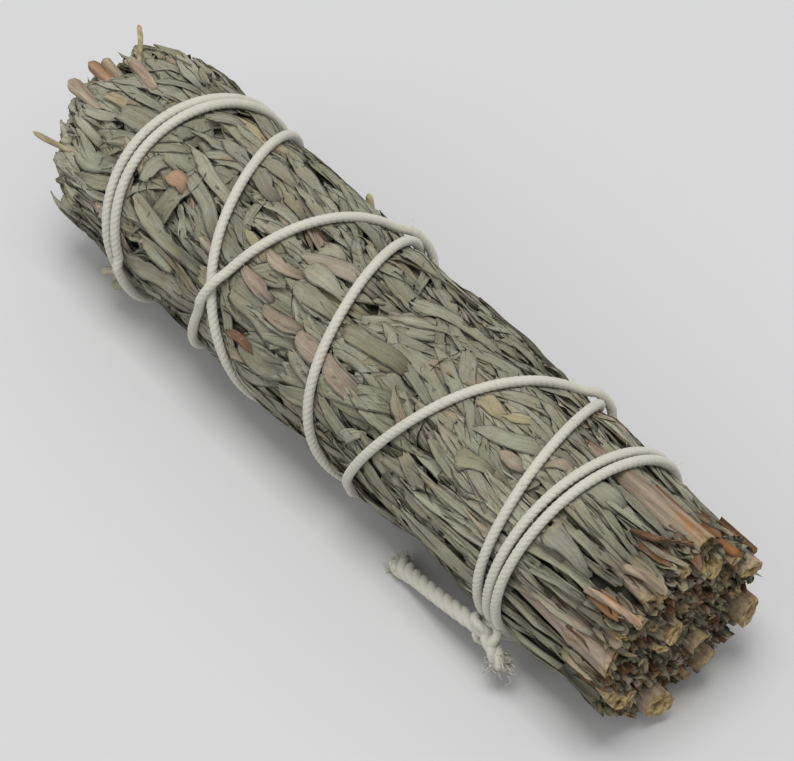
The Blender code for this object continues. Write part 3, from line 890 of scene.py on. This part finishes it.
def packedHeart():
    # rows of circles, each point moved out or in by a few waves, and closed by shrinking rows
    heap = Heap()
    x = np.linspace(heart["from"], heart["to"], 150)
    angle = np.linspace(0, math.tau, 96, endpoint=False)
    along, around = np.meshgrid(x, angle, indexing="ij")
    waves = 0.12 * np.sin(7 * around + along * 0.5) + 0.1 * np.sin(13 * around - along * 0.9)
    middle, half = (heart["to"] + heart["from"]) / 2, (heart["to"] - heart["from"]) / 2
    shrink = 1 - 0.14 * np.clip((np.abs(along - middle) - half + 6) / 6, 0, 1) ** 2
    radius = (heart["radius"] + waves) * shrink
    body = bunchPoint(along, around, radius)
    inner = [
        np.stack([bunchPoint(x[place], angle, radius[place] * share) for share in shares])
        for place, shares in ((0, (0.0, 0.33, 0.66)), (-1, (0.66, 0.33, 0.0)))
    ]
    body = np.concatenate([inner[0], body, inner[1]])
    uv = np.zeros(body.shape[:2] + (2,))
    heap.add(body, ringFaces(len(body), len(angle)), uv, (0.1, 0.1, 0.07))
    heap.piece("packedHeart", finishes["paintedShade"], "dried_leaf", ("sprig_09_leaves", "sprig_10_leaves"))


def freeLeaf(heap, draw, start, heading, face, length, width, colour, kind):
    # a leaf that stands free: its outline along the heading and across it, bent by u^2, cupped
    # by |w|^1.4 and rippled by a sine wave. Points past the bunch's outermost radius, which is
    # 1.4 mm smaller at the tip end, are drawn in to it.
    reach, across, u, w = leafOutline(kind, draw)
    heading = heading / np.linalg.norm(heading)
    side = np.cross(face, heading)
    side /= np.linalg.norm(side)
    out = np.cross(heading, side)
    bend = draw.normal(0, 0.2) * length * u**2
    bend = bend + draw.uniform(0.05, 0.5) * width * np.abs(w) ** 1.4
    bend = bend - 0.12 * np.exp(-((w / 0.25) ** 2)) + 0.08 * np.sin(9 * u + w)
    top = start + (reach * length)[..., None] * heading + (across * width / 2)[..., None] * side
    top = top + (bend + 0 * reach)[..., None] * out
    level = top[..., 2] - bunch["axisHeight"]
    limit = bunch["outermost"] - 1.4 * np.clip((-49.5 - top[..., 0]) / 4.5, 0, 1)
    pull = np.minimum(1.0, limit / np.maximum(np.hypot(top[..., 1], level), 0.01))
    top[..., 1] *= pull
    top[..., 2] = np.maximum(bunch["axisHeight"] + level * pull, leaves["thickness"] + 0.02)
    top[..., 0] = np.clip(top[..., 0], *heart["reach"])
    tint = leafTintAndPaintedShade(colour, u, w, draw)
    out = np.broadcast_to(out, top.shape)
    leafShell(heap, draw, top, out, reach, across, length, width / 2, tint)


def tipLeaves():
    # leaf tips that crowd the end, spread evenly over it and leaning in towards the axis
    draw = np.random.default_rng(heart["seed"])
    heap = Heap()
    for i in range(heart["tipLeaves"]):
        share = math.sqrt(draw.uniform(0.0, 1.0))
        angle = draw.uniform(0, math.tau)
        reach = float(tipReach(angle))
        length = draw.uniform(4.0, 9.0)
        end = reach + draw.uniform(-0.2, 3.2) + 0.8 * (1 - share)
        start = bunchPoint(end + length, angle, heart["tipSpread"] * share)
        outward = (start - (0, 0, bunch["axisHeight"])) * (0, 1, 1) / 13
        heading = np.array([-1.0, *draw.normal(0, 0.26, 2)]) - outward * draw.uniform(0.0, 0.35)
        face = outward * share + np.append(0.0, draw.normal(0, 0.35, 2))
        kind = pick(draw, leaves["kinds"])
        width = draw.uniform(*leaves["widths"][kind]) * heart["tipWidth"]
        colour = drawColour(draw) * heart["tipBrightness"]
        freeLeaf(heap, draw, start, heading, face, length, width, colour, kind)
    heap.piece("leafTips", finishes["leaf"], "dried_leaf", ("sprig_11_leaves",))


def buttLeaves():
    # leaf bases cut off between the stems: narrow, in line with the bunch and browner, and
    # spread evenly over the end
    draw = np.random.default_rng(heart["seed"] + 1)
    heap = Heap()
    for i in range(heart["buttLeaves"]):
        share = math.sqrt(draw.uniform(0.0, 1.0))
        angle = draw.uniform(0, math.tau)
        length = draw.uniform(3.0, 7.0)
        end = 52.2 - 0.9 * share + draw.uniform(-1.6, 0.8)
        start = bunchPoint(end - length, angle, heart["buttSpread"] * share)
        outward = (start - (0, 0, bunch["axisHeight"])) * (0, 1, 1) / 13
        heading = np.array([1.0, *draw.normal(0, 0.1, 2)])
        face = outward + np.append(0.0, draw.normal(0, 0.7, 2))
        colour = drawColour(draw, pick(draw, heart["buttColours"])) * heart["buttBrightness"]
        width = draw.uniform(0.7, 1.9)
        freeLeaf(heap, draw, start, heading, face, length, width, colour, "broken")
    heap.piece("leafBases", finishes["leaf"], "dried_leaf", ("sprig_12_leaves",))


packedHeart()
tipLeaves()
buttLeaves()

# Stems
stems = {
    "sides": 20,
    "step": 0.7,
    "barkColours": ((0.44, 0.37, 0.3), (0.38, 0.31, 0.235), (0.42, 0.37, 0.3), (0.33, 0.27, 0.2)),
    "shoots": 30,
    "shootBrightness": 0.8,
    "markedOverlap": -9.0,
    "seed": 21,
}
# short shoots whose cut ends show on the rim: end along, angle in degrees, distance out, radius
markedShoots = (
    (51.6, 17, 11.9, 0.75),
    (51.4, -1, 11.9, 0.7),
    (52.2, 37, 12.4, 0.7),
    (52.6, -38, 11.6, 0.8),
    (51.3, 52, 11.8, 0.7),
    (52.2, 97, 11.6, 0.8),
)
# bits that stand out of the bunch: both ends as along, angle in degrees and distance out, then
# their radius and colour
strays = (
    ((-47.5, 27, 12.6), (-54.0, 27, 13.0), 0.95, "rose"),
    ((-48.5, 13, 12.2), (-53.9, 12, 13.0), 0.85, "terracotta"),
    ((-48.0, 6, 12.4), (-52.8, 5, 13.2), 0.8, "tan"),
    ((-44.5, -2, 13.0), (-50.0, -5, 13.2), 0.85, "rose"),
    ((-49.0, -6, 13.0), (-54.9, -26, 13.9), 0.36, "straw"),
    ((-47.0, 55, 12.8), (-53.8, 61, 14.0), 0.4, "straw"),
    ((-14.8, -60, 12.8), (-18.3, -63, 14.5), 0.5, "straw"),
    ((44.0, 43, 12.6), (52.4, 37, 13.1), 0.55, "rose"),
    ((46.0, 21, 12.5), (52.0, 17, 12.9), 0.65, "tan"),
    ((40.0, -29, 12.6), (53.2, -35, 12.8), 0.65, "rust"),
)
curls = (
    ((-35.0, 116, 12.6), (-38.2, 124, 16.0), 0.7, "sage"),
    ((-37.0, 118, 12.8), (-40.0, 131, 15.4), 0.65, "silver"),
    ((-34.5, 118, 12.8), (-36.2, 128, 15.2), 0.6, "sage"),
    ((-36.0, 112, 13.4), (-39.2, 116, 15.4), 0.6, "silver"),
)


def stemLine(node):
    # ring centres and radii of a CAD stem, read from its vertices in order along X
    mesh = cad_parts[node].data
    points = np.empty(len(mesh.vertices) * 3)
    mesh.vertices.foreach_get("co", points)
    points = np.unique(np.round(points.reshape(-1, 3) / mm, 3), axis=0)
    points = points[np.argsort(points[:, 0])]
    groups = np.split(points, np.nonzero(np.diff(points[:, 0]) > 4.0)[0] + 1)
    centres = np.array([group.mean(axis=0) for group in groups])[::-1]
    radii = np.array([np.linalg.norm(g - g.mean(axis=0), axis=1).max() for g in groups])[::-1]
    return centres, radii


def woodStem(heap, draw, points, radius, colour, hollow):
    # circles along the line, each radius times 1 + a few sine waves round it and one knot, a
    # bell curve along it. The cut end has a slanting rim, a face and a pith hole, given by each
    # circle's share of the radius, its depth in radii and its cutEnd value.
    line, wanted = evenly(points, stems["step"])
    size = np.interp(np.linspace(0, 1, len(line)), np.linspace(0, 1, len(radius)), radius)
    sides = stems["sides"]
    around = np.linspace(0, math.tau, sides, endpoint=False)[None]
    phase = draw.uniform(0, math.tau, 5)
    along = wanted[:, None]
    ridges = 0.07 * np.sin(2 * around + phase[4])
    ridges = ridges + 0.05 * np.sin(3 * around + phase[0] + along * 0.06)
    ridges = ridges + 0.03 * np.sin(7 * around + phase[1] - along * 0.1)
    knot = 0.1 * np.exp(-((along - draw.uniform(3, 14)) ** 2)) * (1 + np.cos(around - phase[2]))
    size = size[:, None] * (1 + ridges + knot)
    first, second = sideways(line, np.array((0.1, 0.2, 0.97)))
    ring = first[:, None] * np.cos(around)[..., None] + second[:, None] * np.sin(around)[..., None]
    slant = draw.uniform(0.1, 0.6) * (1 + np.cos(around[0] - phase[3]))
    slant = slant + 0.12 * draw.uniform(0, 1, sides)
    rim = (slant * radius[0])[:, None]
    inward = (line[1] - line[0]) / np.linalg.norm(line[1] - line[0])
    body = line[:, None] + ring * size[..., None]
    body[0] += inward * rim
    body[1] = np.where(body[1, :, :1] > body[0, :, :1] - 0.05, body[0] + inward * 0.1, body[1])
    dried = 0.34 * np.clip(1.1 - wanted / draw.uniform(1.5, 5.0), 0, 1)
    rows, cuts = [body], [np.repeat(dried[:, None], sides, 1)]
    face = ((0.95, 0.0, 0.5), (0.7, 0.04, 0.5), (hollow, 0.08, 0.5))
    # the pith hole's cutEnd of 1 paints it near black, as painted shade in the hollow
    pith = ((hollow * 0.85, 0.9, 1.0), (0.0, 1.1, 1.0))
    for share, depth, cut in face + pith:
        circle = line[0] + ring[0] * size[0][:, None] * share
        level = rim * share + rim.mean() * (1 - share)
        rows.insert(0, (circle + inward * (level + depth * radius[0]))[None])
        cuts.insert(0, np.full((1, sides), cut))
    rows.append(np.repeat(line[-1:, None], sides, 1))
    cuts.append(np.zeros((1, sides)))
    body = np.concatenate(rows)
    body[..., 2] = np.maximum(body[..., 2], 0.02)
    uv = np.zeros(body.shape[:2] + (2,))
    heap.add(body, ringFaces(len(body), sides), uv, colour, np.concatenate(cuts))


def barkColour(draw):
    colours = stems["barkColours"]
    return np.array(colours[draw.integers(len(colours))]) * draw.uniform(0.85, 1.12)


def makeStems():
    # one piece for each CAD stem, which also tells the shoots where the cut ends are
    draw = np.random.default_rng(stems["seed"])
    ends = []
    for number in range(1, 13):
        node = f"sprig_{number:02d}_stem"
        points, radii = stemLine(node)
        ends.append((points[0, 1], points[0, 2], radii[0]))
        heap = Heap()
        woodStem(heap, draw, points, radii, barkColour(draw), draw.uniform(0.2, 0.5))
        heap.piece(f"stemOfSprig{number:02d}", finishes["bark"], "stem_bark", (node,))
    return ends


def makeShoots(ends):
    # short side shoots fill the cut end. Each is put where it meets no stem and no earlier
    # shoot, but the marked ones may overlap them.
    draw = np.random.default_rng(stems["seed"] + 1)
    heap = Heap()
    taken = list(ends)
    wanted = len(ends) + stems["shoots"]
    marked = [(x, math.radians(angle), distance, size) for x, angle, distance, size in markedShoots]
    while len(taken) < wanted:
        if marked:
            x, angle, distance, size = marked.pop()
            least = stems["markedOverlap"]
        else:
            angle, share = draw.uniform(0, math.tau), math.sqrt(draw.uniform(0.0, 1.0))
            x = 52.3 - share + draw.normal(0, 0.4)
            distance = 11.2 * share
            size = draw.uniform(0.4, 0.85)
            least = 0.0
        end = bunchPoint(x, angle, distance)
        if min(math.hypot(end[1] - y, end[2] - z) - radius - size for y, z, radius in taken) < least:
            continue
        taken.append((end[1], end[2], size))
        length = draw.uniform(5, 8)
        start = bunchPoint(x - length, angle + draw.normal(0, 0.05), distance * 0.93)
        line = np.stack([end, (end + start) / 2 + draw.normal(0, 0.15, 3), start])
        radii = size * np.array([1.0, 0.9, 0.5])
        colour = barkColour(draw) * stems["shootBrightness"]
        woodStem(heap, draw, line, radii, colour, draw.uniform(0.15, 0.6))
    heap.piece("sideShoots", finishes["bark"], "stem_bark")


def makeStrays(name, bits, finish, slot):
    # bowed tubes: the radius grows slightly along each, in a wave, and over the last fifth it
    # closes in a quarter of an ellipse
    draw = np.random.default_rng(stems["seed"] + 2)
    heap = Heap()
    count = 14
    for first, last, size, colour in bits:
        start, end = (bunchPoint(x, math.radians(angle), out) for x, angle, out in (first, last))
        line = bow(start, end, draw.normal(0, 0.25, 3), count)
        share = np.linspace(0, 1, count)
        radii = size * np.sqrt(np.clip(1 - np.clip((share - 0.82) / 0.185, 0, 1) ** 2, 0, 1))
        radii = radii * (0.85 + 0.15 * share + 0.06 * np.sin(9 * share + draw.uniform(0, 6)))
        tubeAlong(heap, line, radii, 10, drawColour(draw, colour) * 1.1)
    heap.piece(name, finish, slot)


makeShoots(makeStems())
makeStrays("strayStalks", strays, finishes["bark"], "stem_bark")
makeStrays("strayCurls", curls, finishes["leaf"], "dried_leaf")


# Floor and lights, with their lengths in metres. A light is its place, size, watts and colour.
studio = {
    "floorHalf": 3.0,
    "skyColour": (0.985, 0.99, 1.0, 1),
    "skyStrength": 0.55,
    "lights": {
        "window": ((-0.03, 0.0, 1.3), 0.6, 10.2, (1.0, 0.995, 0.985)),
        "fill": ((-0.2, -1.1, 0.75), 0.9, 2.0, (1.0, 1.0, 1.0)),
    },
}


def setFloor():
    shade = Shade("paleFloor", 0.9)
    shade.colour(paint["floor"])
    mesh = bpy.data.meshes.new("floor")
    size = studio["floorHalf"]
    corners = [(-size, -size, 0), (size, -size, 0), (size, size, 0), (-size, size, 0)]
    mesh.from_pydata(corners, [], [(0, 1, 2, 3)])
    mesh.materials.append(shade.material)
    floor = bpy.data.objects.new("floor", mesh)
    bpy.context.scene.collection.objects.link(floor)


def setLight(name, place, size, power, colour):
    # a square lamp that faces the bunch
    data = bpy.data.lights.new(name, "AREA")
    data.size = size
    data.energy = power
    data.color = colour
    lamp = bpy.data.objects.new(name, data)
    lamp.location = place
    away = np.array(place) / np.linalg.norm(place)
    lamp.rotation_euler = (math.acos(away[2]), 0, math.atan2(away[1], away[0]) + math.pi / 2)
    bpy.context.scene.collection.objects.link(lamp)


def setWorld():
    world = bpy.data.worlds.new("studio")
    world.use_nodes = True
    sky = world.node_tree.nodes["Background"]
    sky.inputs["Color"].default_value = studio["skyColour"]
    sky.inputs["Strength"].default_value = studio["skyStrength"]
    bpy.context.scene.world = world
    bpy.context.scene.view_settings.view_transform = "Standard"


setFloor()
setWorld()
for lightName, settings in studio["lights"].items():
    setLight(lightName, *settings)
print("stage set")
